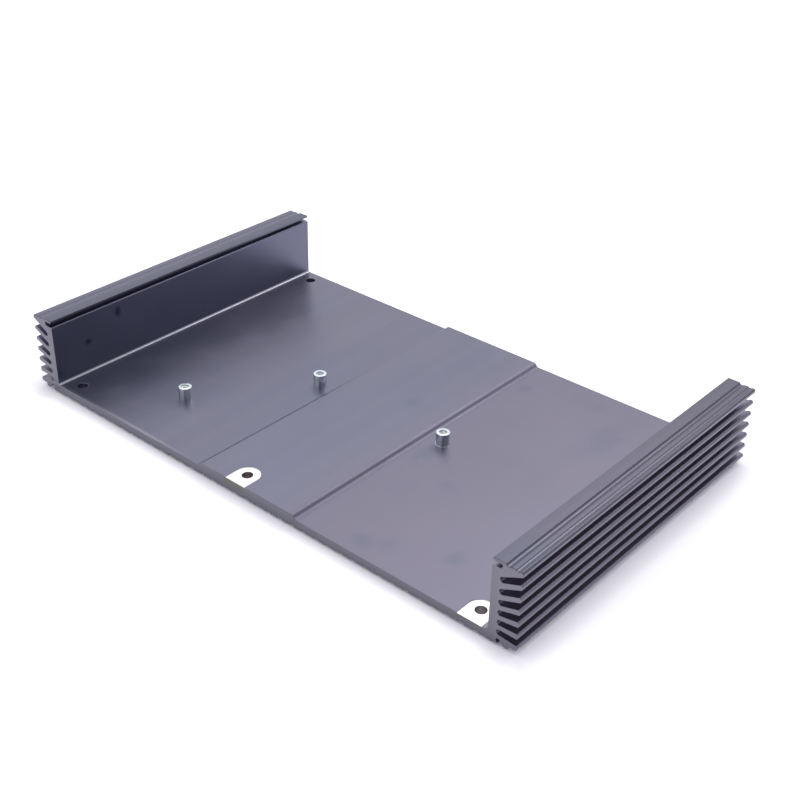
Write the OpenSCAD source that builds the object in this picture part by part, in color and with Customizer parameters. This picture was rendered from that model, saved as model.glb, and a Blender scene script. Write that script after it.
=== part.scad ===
// Extruded U-shaped heat sink chassis with finned side walls, a stepped
// floor and three self-clinching threaded standoffs.
// Axes: X runs across from wall to wall, Y along the extrusion, Z up.
// The origin is at the centre of the underside.

/* [Chassis] */
// Clear width between the inner faces of the two walls
channel_w = 220; // [170:1:300]
// Length of the extrusion, front edge to back edge
depth = 145; // [110:1:240]
// Height from the underside to the top of the wall lips
overall_h = 32.4; // [27:0.1:45]
// Thickness of the floor plates beside the raised strip
floor_t = 3.5; // [3:0.1:5]

/* [Raised strip] */
// Width of the level top of the raised centre strip
strip_w = 46; // [30:1:56]
// Height of the strip above the floor plates
strip_h = 1.6; // [0.8:0.1:2.4]
// Width of the rounded ramp on each side of the strip
ramp_w = 2.8; // [2.4:0.1:5]

/* [Underside grooves] */
// Distance from one groove to the next
groove_pitch = 5.85; // [4:0.05:10]
// Width of each groove
groove_w = 2.2; // [1:0.1:3]
// Depth of each groove
groove_d = 0.4; // [0.2:0.1:0.8]

/* [Walls] */
// Solid wall thickness at the roots of the fin gaps
web_t = 3.2; // [2.8:0.05:6]
// Distance from the inner wall face to the fin tips
fin_reach = 11.5; // [10:0.1:18]
// Radius of the fillet between wall and floor
corner_r = 1; // [0.5:0.1:2]

/* [Fins] */
// Height of the lowest fin gap above the underside, at the fin tips
gap_low_z = 4.6; // [4.2:0.1:6]
// Distance between fin gaps along the line of the tips
gap_pitch = 4.87; // [4.5:0.01:6]
// Width of a gap at its round root
gap_root_w = 2.25; // [1.6:0.05:2.5]
// Angle by which each side of a gap opens towards its mouth
gap_flare = 2.1; // [1:0.1:3.5]
// Upward tilt of the lowest gap, in degrees
tilt_low = -2; // [-4:0.5:4]
// Upward tilt of the topmost gap, in degrees
tilt_high = 24; // [12:0.5:26]
// Bluntness of the round fin tips: radius over half the fin's thickness
tip_blunt = 1.25; // [1:0.05:1.5]

/* [Foot under the lowest fin] */
// Radius of the rounded foot
foot_r = 1.4; // [1:0.1:1.7]
// Distance from the inner wall face to the middle of the foot
foot_u = 7.15; // [6.8:0.05:9]
// Radius of the round notch between wall and foot
notch_r = 0.9; // [0.5:0.05:1.1]

/* [Cover groove and lip] */
// Thickness of the lip over the cover groove
lip_t = 0.9; // [0.5:0.1:1.5]
// Distance by which the lip ends short of the inner wall face
lip_setback = 0.2; // [0:0.1:1]
// Height of the cover groove
slot_h = 1.8; // [1:0.1:2]
// Depth of the cover groove from the inner wall face
slot_d = 3.95; // [2:0.05:4.5]
// Radius on the wall edge below the cover groove
slot_edge_r = 0.5; // [0.2:0.1:1]

/* [Scallops along the wall top] */
// Radius of the hollow of each scallop
scallop_r = 1.1; // [0.9:0.05:1.4]
// Depth of the scallops below the top of the lip
scallop_d = 0.75; // [0.5:0.05:0.85]
// Distance from the inner wall face to the first hollow
scallop_u = 6; // [5.8:0.05:6.3]
// Distance between the two hollows
scallop_pitch = 3.35; // [3.1:0.05:3.5]
// Slope of the outer side of each scallop, in degrees
scallop_slope = 17; // [12:0.5:25]
// Height of the lip above the rest of the wall top
cap_step = 0.4; // [0.2:0.05:0.45]

/* [Screw holes] */
// Diameter of the screw holes in the floor
hole_d = 4.3; // [3:0.1:5.5]
// Distance from a corner hole to the inner wall face
hole_wall_gap = 7.4; // [5.5:0.1:12]
// Distance from a hole to the front or back edge
hole_edge_gap = 6.2; // [5:0.1:12]
// Distance of the front middle hole to the left of the centre line
mid_hole_x = 5.4; // [0:0.1:12]

/* [Bare contact pads] */
// Width of the milled pad around a hole, open to the front edge
pad_w = 10.1; // [8:0.1:11]
// Milled depth of the pads
pad_depth = 0.2; // [0.1:0.05:0.5]

/* [Standoffs] */
// Outer diameter of the standoff barrel
standoff_d = 5.4; // [4.2:0.1:7]
// Height of the standoffs above the floor plates
standoff_h = 5.25; // [3:0.05:12]
// Distance between standoffs across the chassis
standoff_step = 32.5; // [28:0.5:40]
// Distance of the front left standoff in front of the middle of the depth
standoff_front = 44; // [20:0.5:50]
// Minor diameter of the internal thread
thread_minor_d = 2.5; // [2:0.05:3]
// Diameter of the chamfer at each end of the thread
thread_mouth_d = 3.3; // [3.1:0.1:3.8]
// Width across the flats of the clinched hexagonal head
head_af = 6.3; // [5.6:0.1:9]
// Thickness of the clinched head, flush with the underside
head_t = 1.2; // [0.8:0.1:1.8]
// Diameter of the bright ring of floor metal around the barrel
ring_d = 5.9; // [5.5:0.1:8]
// Height of that ring
ring_h = 0.15; // [0.1:0.05:0.4]
// Clearance between a standoff and its hole
clinch_clearance = 0.02; // [0.01:0.01:0.1]

/* [Hidden] */
$fn = 64;
over = 2;

half_w = channel_w / 2;
gap_r = gap_root_w / 2;
root_u = web_t + gap_r;

// A straight side starts just inside its circle and crosses it cleanly
seam = 0.985;
side_r = seam * gap_r;

// How many gaps fit between the foot and the cap
cap_min = 2.5;
gap_count = floor((overall_h - gap_low_z - cap_min) / gap_pitch) + 1;

// Cover groove, measured down from the lip
slot_top_z = overall_h - lip_t;
slot_low_z = slot_top_z - slot_h;

// Top of the wall beyond the lip
cap_z = overall_h - cap_step;

// Lowest fin, foot and notch
foot_top_z = foot_r;
notch_u = web_t + notch_r;
lug_u = notch_u - 0.15;
lug_r = 0.4;
cap_corner = 0.5;

// Margins of the cutting shapes
tip_gap = 0.4;
touch = 0.003;

// Ramp arcs that meet halfway up the step
ramp_r = (pow(ramp_w, 2) + pow(strip_h, 2)) / (4 * strip_h);
strip_z = floor_t + strip_h;

// Grooves run under the whole floor and the two webs
groove_half_n = floor((half_w + web_t - groove_w) / groove_pitch);

hole_x = half_w - hole_wall_gap;
hole_y = depth / 2 - hole_edge_gap;

// Standoffs stand on a common pitch about the centre line
standoff_places = [
    [-2 * standoff_step, -standoff_front],
    [-standoff_step, 0],
    [standoff_step, 0]
];

// Tilt of gap k, easing from the lowest to the topmost
function gap_tilt(k) = tilt_low + (tilt_high - tilt_low) * sin(90 * k / max(1, gap_count - 1));

// Mouth and root of gap k: the root is a circle that the two sides touch
function mouth_z(k) = gap_low_z + k * gap_pitch;
function root_z(k) = mouth_z(k) - (fin_reach - root_u) * tan(gap_tilt(k));

// Height of the lower and upper side of gap k at a distance u from the inner face
function low_side_z(k, u) =
    let (a = gap_tilt(k) - gap_flare)
    root_z(k) - side_r / cos(a) + (u - root_u) * tan(a);
function high_side_z(k, u) =
    let (a = gap_tilt(k) + gap_flare)
    root_z(k) + side_r / cos(a) + (u - root_u) * tan(a);

// Angle, middle and tip radius of fin k, which lies under gap k
function fin_top_a(k) = gap_tilt(k) - gap_flare;
function fin_low_a(k) = k == 0 ? 0 : gap_tilt(k - 1) + gap_flare;
function fin_low_z(k, u) = k == 0 ? foot_top_z : high_side_z(k - 1, u);
function fin_mid_a(k) = (fin_top_a(k) + fin_low_a(k)) / 2;
function fin_mid_z(k, u) = (low_side_z(k, u) + fin_low_z(k, u)) / 2;
function tip_r(k) =
    let (u = fin_reach - 1)
    tip_blunt * (low_side_z(k, u) - fin_low_z(k, u)) / 2 * cos(fin_mid_a(k));

// Straight-sided outline of one half, from the centre line outwards
function half_outline() = [
    [strip_w / 2 + ramp_w, strip_z],
    [strip_w / 2 + ramp_w, floor_t],
    [half_w - corner_r, floor_t],
    [half_w - corner_r, floor_t + corner_r],
    [half_w, floor_t + corner_r],
    [half_w, slot_low_z],
    [half_w + slot_d - slot_h / 2, slot_low_z],
    [half_w + slot_d - slot_h / 2, slot_top_z],
    [half_w + lip_setback, slot_top_z],
    [half_w + lip_setback, overall_h],
    [half_w + scallop_u, overall_h],
    [half_w + scallop_u, cap_z],
    [half_w + fin_reach - cap_corner, cap_z],
    [half_w + fin_reach, cap_z - cap_corner],
    [half_w + fin_reach, foot_top_z],
    [half_w + foot_u + foot_r, foot_top_z],
    [half_w + foot_u + foot_r, 0],
    [half_w + foot_u - foot_r, 0],
    [half_w + foot_u - foot_r, foot_top_z],
    [half_w + lug_u, foot_top_z],
    [half_w + lug_u, 0]
];

// Whole outline: the right half, then its mirror image in reverse order
function outline() =
    let (half = half_outline(), n = len(half))
    concat(half, [for (i = [n - 1 : -1 : 0]) [-half[i][0], half[i][1]]]);

// Area outside a rounded corner of radius r at the origin, where the
// solid lies in the quadrant towards -X and +Y
module corner_cut(r, reach = over) {
    difference() {
        translate([-r, -reach])
            square([r + over, r + reach]);
        translate([-r, r])
            circle(r = r);
    }
}

// One fin gap: a round root and two sides that open outwards
module fin_gap(k) {
    up = gap_tilt(k) + gap_flare;
    dn = gap_tilt(k) - gap_flare;
    far = fin_reach + over;
    translate([root_u, root_z(k)])
        circle(r = gap_r);
    polygon([
        [root_u, root_z(k)],
        [root_u + side_r * sin(dn), root_z(k) - side_r * cos(dn)],
        [far, low_side_z(k, far)],
        [far, high_side_z(k, far)],
        [root_u - side_r * sin(up), root_z(k) + side_r * cos(up)]
    ]);
}

// Area outside the round tip of fin k
module fin_tip_cut(k) {
    r = tip_r(k);
    u = fin_reach - r;
    translate([u, fin_mid_z(k, u)])
        rotate(fin_mid_a(k))
            difference() {
                translate([0, -r - tip_gap])
                    square([over, 2 * r + 2 * tip_gap]);
                circle(r = r + touch);
            }
}

// Area outside the round foot under the lowest fin
module foot_cut() {
    translate([foot_u, foot_top_z])
        difference() {
            translate([-foot_r - tip_gap, -foot_r - over])
                square([2 * foot_r + 2 * tip_gap, foot_r + over]);
            circle(r = foot_r);
        }
}

// One scallop: a round hollow with a gentle slope on its outer side
module scallop() {
    a = scallop_slope;
    run = scallop_pitch - scallop_r;
    start = seam * scallop_r * [sin(a), -cos(a)];
    circle(r = scallop_r);
    polygon([[0, 0], start, start + [run, run * tan(a)], [0, over]]);
}

// Everything cut from one wall, with its inner face at zero
module wall_cuts() {
    for (k = [0 : gap_count - 1]) {
        fin_gap(k);
        fin_tip_cut(k);
    }
    foot_cut();
    translate([notch_u, foot_top_z])
        circle(r = notch_r);
    translate([lug_u, 0])
        corner_cut(lug_r);
    translate([0, slot_low_z])
        rotate(180)
            corner_cut(slot_edge_r, slot_h / 2);
    translate([slot_d - slot_h / 2, slot_low_z + slot_h / 2])
        circle(d = slot_h);
    translate([-corner_r, floor_t + corner_r])
        circle(r = corner_r);
    for (i = [0, 1])
        translate([scallop_u + i * scallop_pitch, overall_h - scallop_d + scallop_r])
            scallop();
}

// Area above the S-shaped ramp beside the raised strip
module ramp_cut() {
    difference() {
        translate([strip_w / 2, strip_z - strip_h / 2])
            square([ramp_w / 2, strip_h]);
        translate([strip_w / 2, strip_z - ramp_r])
            circle(r = ramp_r);
    }
    intersection() {
        translate([strip_w / 2 + ramp_w / 2, floor_t])
            square([ramp_w / 2 + over, strip_h + over]);
        translate([strip_w / 2 + ramp_w, floor_t + ramp_r])
            circle(r = ramp_r);
    }
}

// Shallow grooves under the floor
module groove_cuts() {
    for (i = [-groove_half_n : groove_half_n])
        translate([i * groove_pitch - groove_w / 2, -over])
            square([groove_w, over + groove_d]);
}

// Whole section of the extrusion
module chassis_section() {
    difference() {
        polygon(outline());
        for (side = [0, 1])
            mirror([side, 0]) {
                ramp_cut();
                translate([half_w, 0])
                    wall_cuts();
            }
        groove_cuts();
    }
}

// Milled pad around a hole: round behind it and open to the front edge
module pad_cut(x, top_z) {
    translate([x, -hole_y, top_z - pad_depth]) {
        cylinder(d = pad_w, h = over);
        translate([-pad_w / 2, -hole_edge_gap - over, 0])
            cube([pad_w, hole_edge_gap + over, over]);
    }
}

// Screw hole through the floor
module screw_hole(x, y) {
    translate([x, y, -over])
        cylinder(d = hole_d, h = strip_z + 2 * over);
}

// Hole and recess in which a standoff is clinched
module standoff_seat(place) {
    translate([place[0], place[1], -over])
        cylinder(d = standoff_d + 2 * clinch_clearance, h = floor_t + 2 * over);
    translate([place[0], place[1], -over])
        cylinder(d = (head_af + 2 * clinch_clearance) / cos(30), h = head_t + over, $fn = 6);
}

// The extruded chassis
module chassis() {
    color([0.20, 0.20, 0.25])
        difference() {
            translate([0, depth / 2, 0])
                rotate([90, 0, 0])
                    linear_extrude(depth)
                        chassis_section();
            for (sx = [-1, 1], sy = [-1, 1])
                screw_hole(sx * hole_x, sy * hole_y);
            screw_hole(-mid_hole_x, -hole_y);
            pad_cut(-mid_hole_x, strip_z);
            pad_cut(hole_x, floor_t);
            for (place = standoff_places)
                standoff_seat(place);
        }
}

// One standoff: clinched hexagonal head, barrel, base ring and thread bore
module standoff(place) {
    top = floor_t + standoff_h;
    lead = (thread_mouth_d - thread_minor_d) / 2;
    color([0.80, 0.83, 0.85])
        translate([place[0], place[1], 0])
            difference() {
                union() {
                    cylinder(d = head_af / cos(30), h = head_t, $fn = 6);
                    cylinder(d = standoff_d, h = top);
                    translate([0, 0, floor_t])
                        cylinder(d = ring_d, h = ring_h);
                }
                translate([0, 0, -over])
                    cylinder(d = thread_minor_d, h = top + 2 * over);
                translate([0, 0, top - lead])
                    cylinder(d1 = thread_minor_d, d2 = thread_mouth_d + 2 * lead, h = 2 * lead);
                translate([0, 0, -lead])
                    cylinder(d1 = thread_mouth_d + 2 * lead, d2 = thread_minor_d, h = 2 * lead);
            }
}

module standoff_front_left() {
    standoff(standoff_places[0]);
}

module standoff_middle_left() {
    standoff(standoff_places[1]);
}

module standoff_middle_right() {
    standoff(standoff_places[2]);
}

chassis();
standoff_front_left();
standoff_middle_left();
standoff_middle_right();
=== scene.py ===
"""Looks for an extruded heat sink chassis with clinched threaded standoffs."""

import math

import bmesh
import bpy
from mathutils import Matrix, Vector


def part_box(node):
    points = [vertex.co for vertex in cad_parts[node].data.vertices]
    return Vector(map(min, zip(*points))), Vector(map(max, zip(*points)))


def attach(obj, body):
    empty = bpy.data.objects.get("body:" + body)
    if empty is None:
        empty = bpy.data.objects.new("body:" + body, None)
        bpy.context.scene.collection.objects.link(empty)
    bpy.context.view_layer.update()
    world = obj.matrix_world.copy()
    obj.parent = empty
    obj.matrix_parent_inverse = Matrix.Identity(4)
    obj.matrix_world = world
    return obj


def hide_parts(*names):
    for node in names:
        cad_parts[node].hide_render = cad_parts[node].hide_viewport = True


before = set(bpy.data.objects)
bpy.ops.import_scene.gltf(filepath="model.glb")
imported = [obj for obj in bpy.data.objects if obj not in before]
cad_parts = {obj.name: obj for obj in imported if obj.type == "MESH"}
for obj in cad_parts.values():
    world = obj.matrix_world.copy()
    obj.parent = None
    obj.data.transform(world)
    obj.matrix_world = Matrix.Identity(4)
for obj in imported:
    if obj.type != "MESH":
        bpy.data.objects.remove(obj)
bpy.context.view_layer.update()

bl_info = {
    "name": "Heat Sink Chassis",
    "version": (1, 0, 0),
    "blender": (4, 5, 0),
    "location": "View3D > Sidebar > Chassis",
    "description": "Finishes an anodised heat sink chassis and its zinc plated threaded standoffs",
    "category": "Object",
}

STANDOFFS = ("standoff_front_left", "standoff_middle_left", "standoff_middle_right")
CHASSIS_LOW, CHASSIS_HIGH = (Vector(c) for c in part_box("chassis"))
POST_LOW, POST_HIGH = (Vector(c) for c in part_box("standoff_front_left"))

# Levels of the floor plate, the raised middle strip and the scalloped wall tops, and the sawn front
PLATE = POST_HIGH.z - 0.00525
STRIP = PLATE + 0.0016
CREST = CHASSIS_HIGH.z - 0.0012
FRONT = CHASSIS_LOW.y
CUT_SKIN = (FRONT + 0.00001, FRONT + 0.00003)

# Screw holes, the front left one first, and the height over which a rim in the plate starts
HOLES = (
    (-0.1026, -0.0663),
    (-0.0054, -0.0663),
    (0.1026, -0.0663),
    (-0.1026, 0.0663),
    (0.1026, 0.0663),
)
HOLE_RADIUS = 0.00215
RIM_HEIGHT = (PLATE - 0.0003, PLATE - 0.0002)

# Milled contact pads: x, level of the floor, height of the bare front below it
PADS = ((-0.0054, STRIP, 0.0030), (0.1026, PLATE, 0.0013))
PAD_SINK = (0.00026, 0.00012)
PAD_END = (FRONT + 0.0115, FRONT + 0.0116)

# Stains on the floor, as centre and half sizes, and the broad darker tone of the left bay, which is a
# painted reflection of the left wall
STAINS = (
    (0.0795, 0.0444, 0.011, 0.017),
    (0.0421, 0.0295, 0.006, 0.006),
    (0.0587, 0.0632, 0.011, 0.006),
    (0.0525, -0.0225, 0.006, 0.006),
    (0.0399, -0.0513, 0.008, 0.008),
    (0.0419, -0.0347, 0.007, 0.009),
    (0.0604, -0.0612, 0.007, 0.006),
    (0.0803, -0.0519, 0.005, 0.006),
    (0.0502, -0.0653, 0.006, 0.005),
    (0.0313, 0.0550, 0.005, 0.006),
    (0.0327, -0.0107, 0.006, 0.010),
    (0.0068, 0.0138, 0.005, 0.007),
)
LEFT_BAY_REFLECTION = (-0.0780, -0.0460, 0.030, 0.045)

# Smudges on the inner face of the left wall, as centre and half sizes
SMUDGES = (
    ((-0.1101, -0.05605, 0.01704), (0.0015, 0.0022, 0.0018)),
    ((-0.1101, -0.04001, 0.02481), (0.0015, 0.0020, 0.0032)),
)

TINTS = {
    "cool patch": (0.17, 0.18, 0.26),
    "pale line": (0.26, 0.25, 0.32),
    "right half": (0.187, 0.179, 0.236),
    "left wall": (0.135, 0.142, 0.204),
    "left wall top": (0.124, 0.129, 0.174),
    "right wall top": (0.112, 0.113, 0.150),
    "right lip": (0.112, 0.121, 0.163),
    "front edge shade": (0.05, 0.05, 0.065),
    "fins": (0.155, 0.150, 0.190),
    "sawn front": (0.182, 0.178, 0.206),
    "bare and reflecting front": (0.168, 0.172, 0.158),
    "wall foot highlight": (0.33, 0.34, 0.40),
    "smudge": (0.03, 0.03, 0.045),
    "stain_and_wall_reflection": (0.132, 0.150, 0.212),
    "dust": (0.5, 0.5, 0.54),
    "hole rim highlight": (0.62, 0.62, 0.70),
    "seat rim": (0.62, 0.66, 0.70),
    "hole wall": (0.56, 0.51, 0.53),
    "worn and lit edge": (0.34, 0.34, 0.39),
    "deburred edge": (0.42, 0.42, 0.48),
}

# Surroundings that reflections see dimmer: way, where the dimming is full, where it ends, least level
DIM_WAYS = (
    ((0.55, -0.64, 0.54), 0.985, 0.88, 0.35),
    ((0.80, 0.0, 0.0), 0.55, 0.0, 0.64),
)

# Axes of the camera: to its right, up and backwards
CAMERA_AXES = (
    Vector((0.75568, 0.65466, 0.01945)),
    Vector((-0.35448, 0.38384, 0.85266)),
    Vector((0.55073, -0.65123, 0.52212)),
)


# ---------------------------------------------------------------- settings


class AnodisedSettings(bpy.types.PropertyGroup):
    """Black anodised finish of the extrusion"""

    colour: bpy.props.FloatVectorProperty(
        name="Anodised colour",
        description="Colour of the dyed oxide layer",
        subtype="COLOR",
        size=3,
        min=0.0,
        max=1.0,
        default=(0.174, 0.181, 0.252),
    )
    bare_colour: bpy.props.FloatVectorProperty(
        name="Bare metal colour",
        description="Colour of the milled contact pads",
        subtype="COLOR",
        size=3,
        min=0.0,
        max=1.0,
        default=(0.93, 0.93, 0.93),
    )
    roughness: bpy.props.FloatProperty(
        name="Roughness",
        description="Roughness of the anodised surface",
        subtype="FACTOR",
        min=0.05,
        max=1.0,
        default=0.32,
    )
    line_depth: bpy.props.FloatProperty(
        name="Die line depth",
        description="Depth of the fine lines that the extrusion die leaves",
        unit="LENGTH",
        min=0.0,
        max=0.001,
        default=0.000004,
    )
    pad_width: bpy.props.FloatProperty(
        name="Pad width",
        description="Width of a milled contact pad",
        unit="LENGTH",
        min=0.004,
        max=0.02,
        default=0.0101,
    )


class StandoffSettings(bpy.types.PropertyGroup):
    """Sizes and finish of the threaded standoffs"""

    barrel: bpy.props.FloatProperty(
        name="Barrel diameter",
        description="Outer diameter of the round barrel",
        unit="LENGTH",
        min=0.003,
        max=0.01,
        default=0.0054,
    )
    head_height: bpy.props.FloatProperty(
        name="Head thickness",
        description="Thickness of the hexagonal head in the floor",
        unit="LENGTH",
        min=0.0005,
        max=0.003,
        default=0.0012,
    )
    thread_major: bpy.props.FloatProperty(
        name="Thread diameter",
        description="Outer diameter of the internal thread",
        unit="LENGTH",
        min=0.002,
        max=0.006,
        default=0.003,
    )
    thread_minor: bpy.props.FloatProperty(
        name="Thread minor diameter",
        description="Inner diameter of the internal thread",
        unit="LENGTH",
        min=0.0015,
        max=0.005,
        default=0.0025,
    )
    thread_pitch: bpy.props.FloatProperty(
        name="Thread pitch",
        description="Rise of the thread in one turn",
        unit="LENGTH",
        min=0.0003,
        max=0.001,
        default=0.0005,
    )
    colour: bpy.props.FloatVectorProperty(
        name="Zinc colour",
        description="Colour of the zinc plate",
        subtype="COLOR",
        size=3,
        min=0.0,
        max=1.0,
        default=(0.76, 0.81, 0.86),
    )


class StudioSettings(bpy.types.PropertyGroup):
    """Camera, floor and lights"""

    camera_place: bpy.props.FloatVectorProperty(
        name="Camera place",
        description="Place of the camera",
        subtype="TRANSLATION",
        unit="LENGTH",
        size=3,
        default=(0.28533, -0.32482, 0.27428),
    )
    focal_length: bpy.props.FloatProperty(
        name="Focal length",
        description="Focal length on a 36 mm sensor, in millimetres",
        min=10.0,
        max=300.0,
        default=57.84,
    )
    table_gap: bpy.props.FloatProperty(
        name="Table gap",
        description="Gap between the table and the underside",
        unit="LENGTH",
        min=0.0,
        max=0.01,
        default=0.0009,
    )
    world_level: bpy.props.FloatProperty(
        name="Surroundings",
        description="Level of the white surroundings",
        min=0.0,
        max=3.0,
        default=1.0,
    )


# ---------------------------------------------------------------- node tools


def rgb(colour):
    return (*colour, 1.0)


class Shader:
    """Builds one material's node tree."""

    def __init__(self, name):
        self.material = bpy.data.materials.new(name)
        self.material.use_nodes = True
        self.tree = self.material.node_tree
        self.tree.nodes.clear()
        self.output = self.add("ShaderNodeOutputMaterial")
        self.surface = self.add("ShaderNodeBsdfPrincipled")
        self.link(self.surface.outputs[0], self.output.inputs[0])
        self.place = self.add("ShaderNodeTexCoord").outputs["Object"]

    def add(self, kind, **values):
        node = self.tree.nodes.new(kind)
        for key, value in values.items():
            setattr(node, key, value)
        return node

    def link(self, source, target):
        self.tree.links.new(source, target)

    def feed(self, target, value):
        if isinstance(value, (int, float)):
            target.default_value = value
        elif isinstance(value, (tuple, list)):
            target.default_value = tuple(value)
        else:
            self.link(value, target)

    def math(self, operation, a, b=0.0):
        node = self.add("ShaderNodeMath", operation=operation)
        self.feed(node.inputs[0], a)
        self.feed(node.inputs[1], b)
        return node.outputs[0]

    def product(self, first, *others):
        for other in others:
            first = self.math("MULTIPLY", first, other)
        return first

    def axes(self):
        node = self.add("ShaderNodeSeparateXYZ")
        self.link(self.place, node.inputs[0])
        return tuple(node.outputs)

    def stretched(self, scale, offset=(0.0, 0.0, 0.0)):
        node = self.add("ShaderNodeMapping")
        self.link(self.place, node.inputs[0])
        node.inputs["Location"].default_value = offset
        node.inputs["Scale"].default_value = scale
        return node.outputs[0]

    def noise(self, place, scale, detail, roughness=0.5):
        node = self.add("ShaderNodeTexNoise")
        self.link(place, node.inputs["Vector"])
        node.inputs["Scale"].default_value = scale
        node.inputs["Detail"].default_value = detail
        node.inputs["Roughness"].default_value = roughness
        return node.outputs["Fac"]

    def span(self, value, low, high, to_low=0.0, to_high=1.0):
        node = self.add("ShaderNodeMapRange", clamp=True)
        self.feed(node.inputs["Value"], value)
        limits = {"From Min": low, "From Max": high, "To Min": to_low, "To Max": to_high}
        for name, number in limits.items():
            node.inputs[name].default_value = number
        return node.outputs[0]

    def mix(self, share, a, b):
        node = self.add("ShaderNodeMix", data_type="RGBA")
        for socket, value in ((node.inputs[0], share), (node.inputs[6], a), (node.inputs[7], b)):
            self.feed(socket, value)
        return node.outputs[2]

    def blend(self, share, a, b):
        node = self.add("ShaderNodeMix", data_type="FLOAT")
        for socket, value in ((node.inputs[0], share), (node.inputs[2], a), (node.inputs[3], b)):
            self.feed(socket, value)
        return node.outputs[0]

    def bump(self, height, distance, strength, normal=None):
        node = self.add("ShaderNodeBump")
        node.inputs["Strength"].default_value = strength
        node.inputs["Distance"].default_value = distance
        self.link(height, node.inputs["Height"])
        if normal is not None:
            self.link(normal, node.inputs["Normal"])
        return node.outputs[0]

    def length(self, vector):
        node = self.add("ShaderNodeVectorMath", operation="LENGTH")
        self.link(vector, node.inputs[0])
        return node.outputs["Value"]

    def within(self, value, low, high, soft=0.00002):
        """1 where low < value < high, with soft edges."""
        above = self.span(value, low - soft, low + soft)
        below = self.span(value, high - soft, high + soft, 1.0, 0.0)
        return self.product(above, below)

    def spot(self, centre, size, soft=0.7):
        """1 inside an ellipsoid around centre, fading to 0 at its edge."""
        scale = tuple(1.0 / s for s in size)
        offset = tuple(-c / s for c, s in zip(centre, size))
        return self.span(self.length(self.stretched(scale, offset)), 1.0 - soft, 1.0, 1.0, 0.0)

    def off_axis(self, place):
        """Distance from the upright line through place."""
        offset = self.add("ShaderNodeCombineXYZ")
        for socket, value, middle in zip(offset.inputs, self.axes(), place):
            self.feed(socket, self.math("SUBTRACT", value, middle))
        return self.length(offset.outputs[0])


# ---------------------------------------------------------------- finishes


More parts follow.
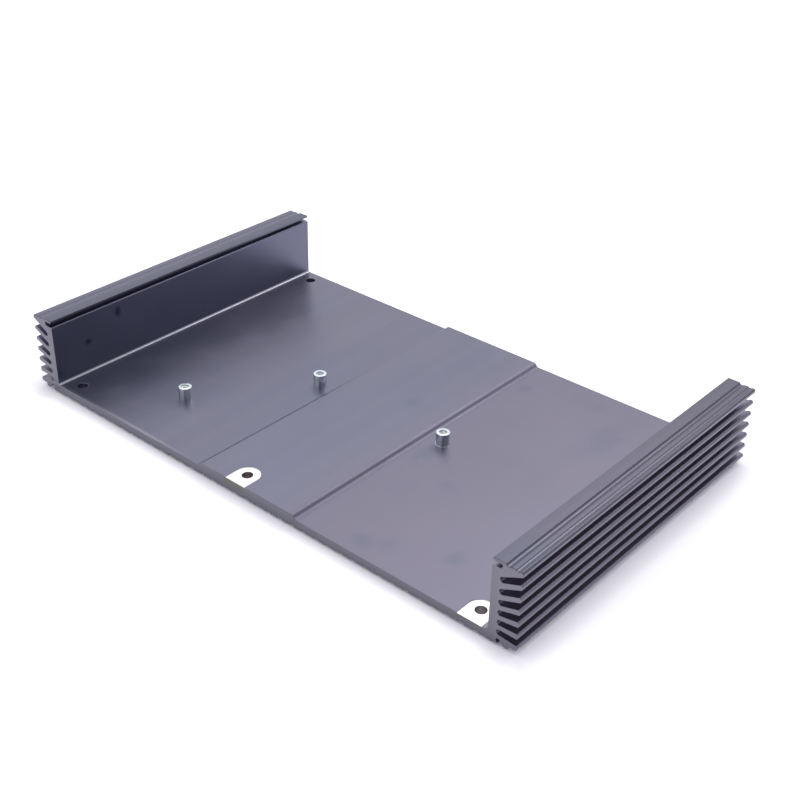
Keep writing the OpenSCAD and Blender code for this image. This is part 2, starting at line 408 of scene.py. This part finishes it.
class AnodisedShader(Shader):
    """Finish of the extrusion: layers of colour over the anodised one, some of them painted light and
    shade.
    """

    def __init__(self, settings):
        super().__init__("black_anodised_satin")
        self.settings = settings
        self.x, self.y, self.z = self.axes()
        self.cloud = self.noise(self.stretched((1.0, 0.6, 1.0), (0.3, 0.1, 0.2)), 26.0, 2.0, 0.6)
        self.patch = self.noise(self.stretched((1.0, 0.8, 1.0), (1.3, 2.1, 0.2)), 60.0, 3.0, 0.65)
        self.grain = self.noise(self.place, 5200.0, 1.0, 0.6)
        # Lines along the extrusion, from the die
        self.lines = self.noise(self.stretched((900.0, 6.0, 900.0)), 1.0, 2.0, 0.65)
        self.broad_lines = self.noise(self.stretched((160.0, 1.2, 160.0), (3.0, 1.0, 7.0)), 1.0, 2.0)
        self.cut = self.span(self.y, *CUT_SKIN, 1.0, 0.0)
        self.pads = self.milled_pads()
        self.rounded = self.add("ShaderNodeBevel", samples=2)
        self.rounded.inputs["Radius"].default_value = 0.0002

        self.colour = self.anodised_colour()
        self.tone_walls()
        self.tone_front()
        self.add_marks_and_painted_light()
        self.show_metal_and_highlights()
        self.link(self.colour, self.surface.inputs["Base Color"])
        self.set_reflection()
        self.set_relief()

    def tint(self, name, *shares):
        self.colour = self.mix(self.product(*shares), self.colour, rgb(TINTS[name]))

    def milled_pads(self):
        half = self.settings.pad_width / 2
        deep, shallow = PAD_SINK
        pads = []
        for place_x, level, _ in PADS:
            sideways = self.within(self.x, place_x - half, place_x + half)
            height = self.within(self.z, level - deep, level - shallow, 0.00001)
            pads.append(self.product(sideways, height))
        return self.product(self.math("MAXIMUM", *pads), self.span(self.y, *PAD_END, 1.0, 0.0))

    def anodised_colour(self):
        """A warm and a cool grey in soft patches."""
        red, green, blue = self.settings.colour
        warm = rgb((red * 1.03, green * 0.99, blue * 0.97))
        return self.mix(self.span(self.cloud, 0.35, 0.68), rgb((red, green, blue)), warm)

    def tone_walls(self):
        """Warmer to the right; painted shade on the left wall, on the wall tops and along their front
        edge.
        """
        self.tint("cool patch", self.span(self.patch, 0.58, 0.75, 0.0, 0.5))
        self.tint("pale line", self.span(self.broad_lines, 0.40, 0.75, 0.0, 0.14))
        self.tint("right half", self.span(self.x, 0.010, 0.040, 0.0, 0.8))
        # The left wall is painted darker: painted shade for the dim surroundings it reflects.
        self.tint("left wall", self.span(self.x, -0.1100, -0.1098, 0.8, 0.0))

        # The wall tops are painted darker and bluer as painted shade; towards the front of the right
        # lip this painted shade is lighter and bluer.
        sides = (rgb(TINTS["left wall top"]), rgb(TINTS["right wall top"]))
        top = self.span(self.z, CREST, CREST + 0.0004, 0.0, 0.9)
        self.colour = self.mix(top, self.colour, self.mix(self.span(self.x, -0.1, 0.1), *sides))
        lip_front = self.span(self.y, FRONT + 0.014, FRONT + 0.024, 0.7, 0.0)
        self.tint("right lip", lip_front, self.span(self.x, 0.100, 0.101), top)
        # A dark band along the front edge of the wall tops: painted shade on the rounded edge.
        self.tint("front edge shade", self.span(self.y, FRONT + 0.0002, FRONT + 0.0006, 0.8, 0.0), top)

    def tone_front(self):
        """Darker fins; the sawn front painted greyer and the bare metal over its edge below the pads
        painted dark olive, both as painted reflection.
        """
        outside = self.span(self.math("ABSOLUTE", self.x), 0.1135, 0.1195)
        below_top = self.span(self.z, CREST, CREST - 0.0006)
        self.tint("fins", outside, below_top, self.span(self.y, *CUT_SKIN), 0.5)
        # The front face is painted greyer: a painted reflection of the shaded table in front of it.
        self.tint("sawn front", self.cut, 0.8)

        half = self.settings.pad_width / 2
        shift, soft = 0.0006, 0.0004
        # The bare metal below each pad is real; its dark olive colour is a painted reflection of the
        # dim surroundings in front.
        for place_x, level, depth in PADS:
            sideways = self.within(self.x, place_x - half - shift, place_x + half - shift, 0.0005)
            end = level - depth
            self.tint("bare and reflecting front", sideways, self.span(self.z, end - soft, end + soft), self.cut)

    def add_marks_and_painted_light(self):
        """A painted highlight at the foot of the left wall, smudges, stains, a painted reflection in
        the left bay, and fine dust.
        """
        # The fillet at the foot of the left wall is painted lighter: a painted highlight.
        foot = self.within(self.z, PLATE + 0.00005, PLATE + 0.0009, 0.00005)
        self.tint("wall foot highlight", self.within(self.x, -0.1100, -0.1091, 0.0001), foot)
        for centre, size in SMUDGES:
            self.tint("smudge", self.spot(centre, size), 0.75)
        ragged = self.span(self.patch, 0.42, 0.56, 0.15, 1.0)
        # The left bay's entry is a painted reflection of the left wall; the others are stains.
        for place_x, place_y, size_x, size_y in (*STAINS, LEFT_BAY_REFLECTION):
            stain_and_wall_reflection = self.spot((place_x, place_y, PLATE), (size_x, size_y, 0.004))
            self.tint("stain_and_wall_reflection", stain_and_wall_reflection, ragged, 0.45)
        self.tint("dust", self.span(self.noise(self.place, 1100.0, 1.0), 0.80, 0.83, 0.0, 0.5))

    def show_metal_and_highlights(self):
        """Hole walls and the milled pads show the metal; the front left hole's rim, the right
        standoff's seat and the edges, partly worn, are painted lighter as highlights.
        """
        at_rim = self.span(self.z, *RIM_HEIGHT)
        walls = []
        for place in HOLES:
            radial = self.off_axis(place)
            walls.append(self.within(radial, HOLE_RADIUS - 0.00004, HOLE_RADIUS + 0.00004))
            # The back half of the front left hole's rim is painted lighter: a painted highlight.
            if place == HOLES[0]:
                ring = self.within(radial, HOLE_RADIUS - 0.00005, HOLE_RADIUS + 0.00025)
                self.tint("hole rim highlight", ring, at_rim, self.span(self.y, place[1], place[1] + 0.002))

        # The seat of the right standoff catches light on its near side
        place = middle_of(STANDOFFS[2])
        ring = self.within(self.off_axis(place), 0.0027, 0.00292)
        near = self.span(self.y, place.y - 0.001, place.y + 0.001, 0.9, 0.0)
        self.tint("seat rim", ring, at_rim, near)

        hole_walls = walls[0]
        for wall in walls[1:]:
            hole_walls = self.math("MAXIMUM", hole_walls, wall)
        self.tint("hole wall", hole_walls, self.span(self.x, -0.06, -0.05))

        # Rounded edges are painted lighter: partly worn anodising, partly a painted highlight.
        flat = self.add("ShaderNodeNewGeometry")
        alike = self.add("ShaderNodeVectorMath", operation="DOT_PRODUCT")
        self.link(self.rounded.outputs[0], alike.inputs[0])
        self.link(flat.outputs["True Normal"], alike.inputs[1])
        edges = self.span(alike.outputs["Value"], 0.80, 0.99, 1.0, 0.0)
        self.tint("worn and lit edge", edges, self.span(self.patch, 0.35, 0.65, 0.1, 0.45))

        # Deburred front edge of the left plate
        edge = self.span(self.y, FRONT + 0.0009, FRONT + 0.0014, 1.0, 0.0)
        level = self.within(self.z, PLATE - 0.0001, PLATE + 0.0002)
        self.tint("deburred edge", edge, level, self.span(self.x, -0.06, -0.03, 0.45, 0.0))
        self.colour = self.mix(self.pads, self.colour, rgb(self.settings.bare_colour))

    def set_reflection(self):
        """Metal, with lines along Y that spread a reflection sideways."""
        inputs = self.surface.inputs
        around = self.add("ShaderNodeTangent", direction_type="RADIAL", axis="Y")
        self.link(around.outputs[0], inputs["Tangent"])
        inputs["Anisotropic"].default_value = 0.5
        inputs["Metallic"].default_value = 1.0

        # A faint light of their own lifts the gaps between the outer fins
        outside = self.span(self.math("ABSOLUTE", self.x), 0.1122, 0.1130)
        inputs["Emission Color"].default_value = (0.72, 0.58, 1.0, 1.0)
        self.link(self.product(outside, 0.014), inputs["Emission Strength"])

        base = self.settings.roughness
        satin = self.span(self.cloud, 0.3, 0.7, base - 0.03, base + 0.05)
        satin = self.math("ADD", satin, self.span(self.patch, 0.5, 0.8, 0.0, 0.06))
        ramp = self.within(self.x, 0.0225, 0.0265, 0.0005)
        satin = self.math("ADD", satin, self.product(ramp, 0.14))
        self.link(self.blend(self.pads, satin, 0.38), inputs["Roughness"])

    def set_relief(self):
        """Die lines and grain over slightly rounded edges."""
        height = self.math("ADD", self.product(self.lines, 0.7), self.product(self.broad_lines, 0.9))
        normal = self.bump(height, self.settings.line_depth, 0.9, self.rounded.outputs[0])
        normal = self.bump(self.grain, 0.000006, 0.6, normal)
        self.link(normal, self.surface.inputs["Normal"])


def zinc_finish(settings):
    s = Shader("bright_zinc_plated")
    red, green, blue = settings.colour
    cloud = s.noise(s.place, 380.0, 3.0)
    turned = s.noise(s.stretched((20.0, 20.0, 5000.0)), 1.0, 2.0)
    dull = rgb((red * 0.9, green * 0.93, blue * 0.93))
    colour = s.mix(s.span(cloud, 0.35, 0.7), rgb((red, green, blue)), dull)
    s.link(colour, s.surface.inputs["Base Color"])
    s.surface.inputs["Metallic"].default_value = 1.0
    s.link(s.span(cloud, 0.3, 0.75, 0.16, 0.26), s.surface.inputs["Roughness"])
    s.link(s.bump(turned, 0.000003, 0.4), s.surface.inputs["Normal"])
    return s.material


def table_finish():
    s = Shader("white_table")
    cloud = s.noise(s.place, 3.0, 2.0)
    pale = s.mix(cloud, rgb((0.93, 0.925, 0.975)), rgb((0.94, 0.935, 0.985)))
    s.link(pale, s.surface.inputs["Base Color"])
    s.surface.inputs["Roughness"].default_value = 0.9
    s.surface.inputs["Specular IOR Level"].default_value = 0.0

    # Seen directly or in a reflection, the open table is plain white
    rays = s.add("ShaderNodeLightPath")
    mirrored = s.product(rays.outputs["Is Glossy Ray"], 0.7)
    seen = s.math("MAXIMUM", rays.outputs["Is Camera Ray"], mirrored)
    # Near and under the chassis the table's own light fades and turns lavender: a painted shadow.
    beside = []
    for value, half in zip(s.axes(), CHASSIS_HIGH.to_2d()):
        out = s.math("SUBTRACT", s.math("ABSOLUTE", value), half)
        beside.append(s.span(out, -0.001, 0.008))
    open_table = s.math("MAXIMUM", *beside)
    white = s.mix(open_table, rgb((0.35, 0.32, 0.75)), rgb((0.97, 0.97, 1.0)))
    s.link(white, s.surface.inputs["Emission Color"])
    s.link(s.product(seen, s.blend(open_table, 0.03, 0.25)), s.surface.inputs["Emission Strength"])
    return s.material


# ---------------------------------------------------------------- modelling


def middle_of(node):
    """The middle of a node's box, seen from above."""
    low, high = (Vector(c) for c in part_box(node))
    return ((low + high) / 2).to_2d()


def clear_selection():
    if bpy.context.object and bpy.context.object.mode != "OBJECT":
        bpy.ops.object.mode_set(mode="OBJECT")
    bpy.ops.object.select_all(action="DESELECT")


def only(piece):
    clear_selection()
    piece.select_set(True)
    bpy.context.view_layer.objects.active = piece


def remove(piece):
    clear_selection()
    piece.select_set(True)
    bpy.ops.object.delete()


def settle(piece):
    """Puts the piece's place into its mesh."""
    only(piece)
    bpy.ops.object.transform_apply(location=True, rotation=True, scale=True)


def take_new(name):
    """Names the piece that was just added, and settles it."""
    piece = bpy.context.object
    piece.name = name
    settle(piece)
    return piece


def apply_modifiers(piece):
    only(piece)
    for modifier in list(piece.modifiers):
        bpy.ops.object.modifier_apply(modifier=modifier.name)


def add_round(name, radius, low, high, sides=96, turn=0.0):
    """A closed cylinder on the Z axis."""
    clear_selection()
    bpy.ops.mesh.primitive_cylinder_add(
        vertices=sides,
        radius=radius,
        depth=high - low,
        location=(0, 0, (low + high) / 2),
        rotation=(0, 0, turn),
    )
    return take_new(name)


def add_cone(name, low_radius, high_radius, low, high):
    """A closed cone on the Z axis, cut off at both ends."""
    clear_selection()
    bpy.ops.mesh.primitive_cone_add(
        vertices=96,
        radius1=low_radius,
        radius2=high_radius,
        depth=high - low,
        location=(0, 0, (low + high) / 2),
    )
    return take_new(name)


def bevel_edges(piece, chosen, width, segments):
    only(piece)
    bpy.ops.object.mode_set(mode="EDIT")
    bpy.ops.mesh.select_mode(type="EDGE")
    mesh = bmesh.from_edit_mesh(piece.data)
    for edge in mesh.edges:
        edge.select_set(chosen(*(v.co for v in edge.verts)))
    bmesh.update_edit_mesh(piece.data)
    bpy.ops.mesh.bevel(offset=width, segments=segments, affect="EDGES", clamp_overlap=True)
    bpy.ops.object.mode_set(mode="OBJECT")


def combine(piece, tool, operation):
    """Cuts the tool out of the piece, or joins it on, and deletes the tool."""
    modifier = piece.modifiers.new("combine", "BOOLEAN")
    modifier.operation = operation
    modifier.solver = "EXACT"
    modifier.object = tool
    apply_modifiers(piece)
    remove(tool)


def add_thread(name, minor, major, pitch, low, high):
    """A closed ridge that winds up the wall of the bore."""
    crest_inset = 0.00001
    root_overlap = 0.00003
    half_root = pitch * 0.44
    merge_gap = 1e-7

    clear_selection()
    bpy.ops.mesh.primitive_circle_add(
        vertices=3, radius=pitch * 0.3, fill_type="NGON", location=(major, 0, low)
    )
    piece = take_new(name)
    bpy.ops.object.mode_set(mode="EDIT")
    bpy.ops.mesh.select_all(action="SELECT")
    mesh = bmesh.from_edit_mesh(piece.data)
    crest, top, bottom = sorted(mesh.verts, key=lambda v: v.index)
    crest.co = Vector((minor + crest_inset, 0, low))
    top.co = Vector((major + root_overlap, 0, low + half_root))
    bottom.co = Vector((major + root_overlap, 0, low - half_root))
    bmesh.update_edit_mesh(piece.data)
    bpy.ops.object.mode_set(mode="OBJECT")

    screw = piece.modifiers.new("thread", "SCREW")
    screw.angle = math.radians(360)
    screw.screw_offset = pitch
    screw.iterations = math.floor((high - low) / pitch) - 1
    screw.steps = 32
    screw.render_steps = 32
    screw.use_merge_vertices = True
    screw.merge_threshold = merge_gap
    apply_modifiers(piece)

    only(piece)
    bpy.ops.object.mode_set(mode="EDIT")
    bpy.ops.mesh.select_all(action="SELECT")
    bpy.ops.mesh.remove_doubles(threshold=merge_gap)
    bpy.ops.mesh.normals_make_consistent(inside=False)
    bpy.ops.object.mode_set(mode="OBJECT")
    return piece


def model_standoff(settings):
    """One standoff on the Z axis, at the height of the part's own."""
    top = POST_HIGH.z
    major = settings.thread_major / 2
    minor = settings.thread_minor / 2
    barrel = settings.barrel / 2
    head_radius = (POST_HIGH.x - POST_LOW.x) / 2
    edge_round = 0.00012
    overcut = 0.001
    mouth = 0.00165
    lead = 0.0002
    thread_low, thread_high = 0.0005, top - 0.00015

    def at_top_rim(a, b):
        return min(a.z, b.z) > top - 1e-6 and (a.to_2d() - b.to_2d()).length < barrel

    body = add_round("standoff", barrel, 0.0, top)
    bevel_edges(body, at_top_rim, edge_round, 3)
    head = add_round("standoff_head", head_radius, 0.0, settings.head_height, 6, math.radians(30))
    combine(body, head, "UNION")

    combine(body, add_round("bore", major, -overcut, top + overcut), "DIFFERENCE")
    narrow, wide = major - lead, mouth + lead
    mouth_top = add_cone("mouth_top", narrow, wide, top - 2 * lead, top + 2 * lead)
    combine(body, mouth_top, "DIFFERENCE")
    mouth_low = add_cone("mouth_low", wide, narrow, -2 * lead, 2 * lead)
    combine(body, mouth_low, "DIFFERENCE")

    thread = add_thread(
        "standoff_thread", minor, major, settings.thread_pitch, thread_low, thread_high
    )
    clear_selection()
    thread.select_set(True)
    body.select_set(True)
    bpy.context.view_layer.objects.active = body
    bpy.ops.object.join()
    only(body)
    bpy.ops.object.shade_smooth_by_angle(angle=math.radians(32))
    return body


# ---------------------------------------------------------------- operators


class CHASSIS_OT_finish_extrusion(bpy.types.Operator):
    """Gives the extruded chassis its anodised and bare metal finish, with painted light and shade"""

    bl_idname = "chassis.finish_extrusion"
    bl_label = "Finish Extrusion"

    def execute(self, context):
        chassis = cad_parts["chassis"]
        finish = AnodisedShader(context.scene.chassis_anodised).material
        for slot in chassis.material_slots:
            slot.material = finish
        return {"FINISHED"}


class CHASSIS_OT_make_standoffs(bpy.types.Operator):
    """Models the threaded standoff once and copies it to its three places"""

    bl_idname = "chassis.make_standoffs"
    bl_label = "Make Standoffs"

    def execute(self, context):
        settings = context.scene.chassis_standoffs
        master = model_standoff(settings)
        finish = zinc_finish(settings)
        master.data.materials.clear()
        master.data.materials.append(finish)
        for node in STANDOFFS:
            piece = master.copy()
            piece.data = master.data.copy()
            piece.name = node + "_threaded"
            context.scene.collection.objects.link(piece)
            only(piece)
            bpy.ops.transform.translate(value=(*middle_of(node), 0.0))
            settle(piece)
            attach(piece, "root")
            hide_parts(node)
        remove(master)
        return {"FINISHED"}


class CHASSIS_OT_make_stage(bpy.types.Operator):
    """Adds the white table, the surroundings, the lights and the camera"""

    bl_idname = "chassis.make_stage"
    bl_label = "Make Stage"

    def execute(self, context):
        settings = context.scene.chassis_studio
        self.add_table(settings.table_gap)
        self.add_world(context.scene, settings.world_level)
        self.add_lamp("top_softbox", (-0.25, 0.35, 0.75), (0.7, 0.7), 1.0)
        self.add_lamp("back_softbox", (0.06, 0.70, 0.80), (0.50, 0.30), 1.6)
        self.add_camera(context.scene, settings)
        context.scene.view_settings.view_transform = "Standard"
        return {"FINISHED"}

    def add_table(self, gap):
        clear_selection()
        bpy.ops.mesh.primitive_plane_add(size=8.0, location=(0, 0, -gap))
        table = take_new("table")
        table.data.materials.append(table_finish())

    def add_world(self, scene, world_level):
        """White all round, but for reflections dim in front and to the right."""
        world = bpy.data.worlds.new("white_surroundings")
        scene.world = world
        world.use_nodes = True
        tree = world.node_tree
        background = tree.nodes["Background"]
        background.inputs["Color"].default_value = (1.0, 1.0, 1.0, 1.0)

        around = tree.nodes.new("ShaderNodeTexCoord")
        both = tree.nodes.new("ShaderNodeMath")
        both.operation = "MULTIPLY"
        for target, (way, start, end, least) in zip(both.inputs, DIM_WAYS):
            towards = tree.nodes.new("ShaderNodeVectorMath")
            towards.operation = "DOT_PRODUCT"
            tree.links.new(around.outputs["Generated"], towards.inputs[0])
            towards.inputs[1].default_value = way
            dim = tree.nodes.new("ShaderNodeMapRange")
            dim.interpolation_type = "SMOOTHSTEP"
            tree.links.new(towards.outputs["Value"], dim.inputs["Value"])
            limits = {"From Min": start, "From Max": end, "To Min": least, "To Max": 1.0}
            for name, number in limits.items():
                dim.inputs[name].default_value = number
            tree.links.new(dim.outputs[0], target)

        rays = tree.nodes.new("ShaderNodeLightPath")
        share = tree.nodes.new("ShaderNodeMix")
        share.data_type = "FLOAT"
        tree.links.new(rays.outputs["Is Glossy Ray"], share.inputs[0])
        share.inputs[2].default_value = 1.0
        tree.links.new(both.outputs[0], share.inputs[3])
        level = tree.nodes.new("ShaderNodeMath")
        level.operation = "MULTIPLY"
        tree.links.new(share.outputs[0], level.inputs[0])
        level.inputs[1].default_value = world_level
        tree.links.new(level.outputs[0], background.inputs["Strength"])

    def add_lamp(self, name, place, size, power):
        data = bpy.data.lights.new(name, "AREA")
        data.shape = "RECTANGLE"
        data.size, data.size_y = size
        data.energy = power
        data.color = (1.0, 0.93, 0.90)
        lamp = bpy.data.objects.new(name, data)
        bpy.context.scene.collection.objects.link(lamp)
        lamp.location = place
        lamp.rotation_euler = (-Vector(place)).to_track_quat("-Z", "Y").to_euler()

    def add_camera(self, scene, settings):
        camera = bpy.data.objects.new("camera", bpy.data.cameras.new("camera"))
        scene.collection.objects.link(camera)
        turn = Matrix(CAMERA_AXES).transposed()
        place = Matrix.Translation(Vector(settings.camera_place))
        camera.matrix_world = place @ turn.to_4x4()
        camera.data.lens = settings.focal_length
        camera.data.sensor_width = 36.0
        camera.data.clip_start = 0.01
        scene.camera = camera


class CHASSIS_PT_panel(bpy.types.Panel):
    """Settings and steps of the heat sink chassis"""

    bl_idname = "CHASSIS_PT_panel"
    bl_label = "Heat Sink Chassis"
    bl_space_type = "VIEW_3D"
    bl_region_type = "UI"
    bl_category = "Chassis"

    def draw(self, context):
        layout = self.layout
        for name in SETTINGS:
            group = getattr(context.scene, name)
            box = layout.box()
            for key in group.__annotations__:
                box.prop(group, key)
        for operator in STEPS:
            layout.operator(operator.bl_idname)


SETTINGS = {
    "chassis_anodised": AnodisedSettings,
    "chassis_standoffs": StandoffSettings,
    "chassis_studio": StudioSettings,
}
STEPS = (CHASSIS_OT_finish_extrusion, CHASSIS_OT_make_standoffs, CHASSIS_OT_make_stage)


def register():
    for cls in (*SETTINGS.values(), *STEPS, CHASSIS_PT_panel):
        bpy.utils.register_class(cls)
    for name, group in SETTINGS.items():
        setattr(bpy.types.Scene, name, bpy.props.PointerProperty(type=group))


def unregister():
    for name in SETTINGS:
        delattr(bpy.types.Scene, name)
    for cls in reversed((*SETTINGS.values(), *STEPS, CHASSIS_PT_panel)):
        bpy.utils.unregister_class(cls)


def main():
    register()
    bpy.ops.chassis.finish_extrusion()
    bpy.ops.chassis.make_standoffs()
    bpy.ops.chassis.make_stage()


if __name__ == "__main__":
    main()
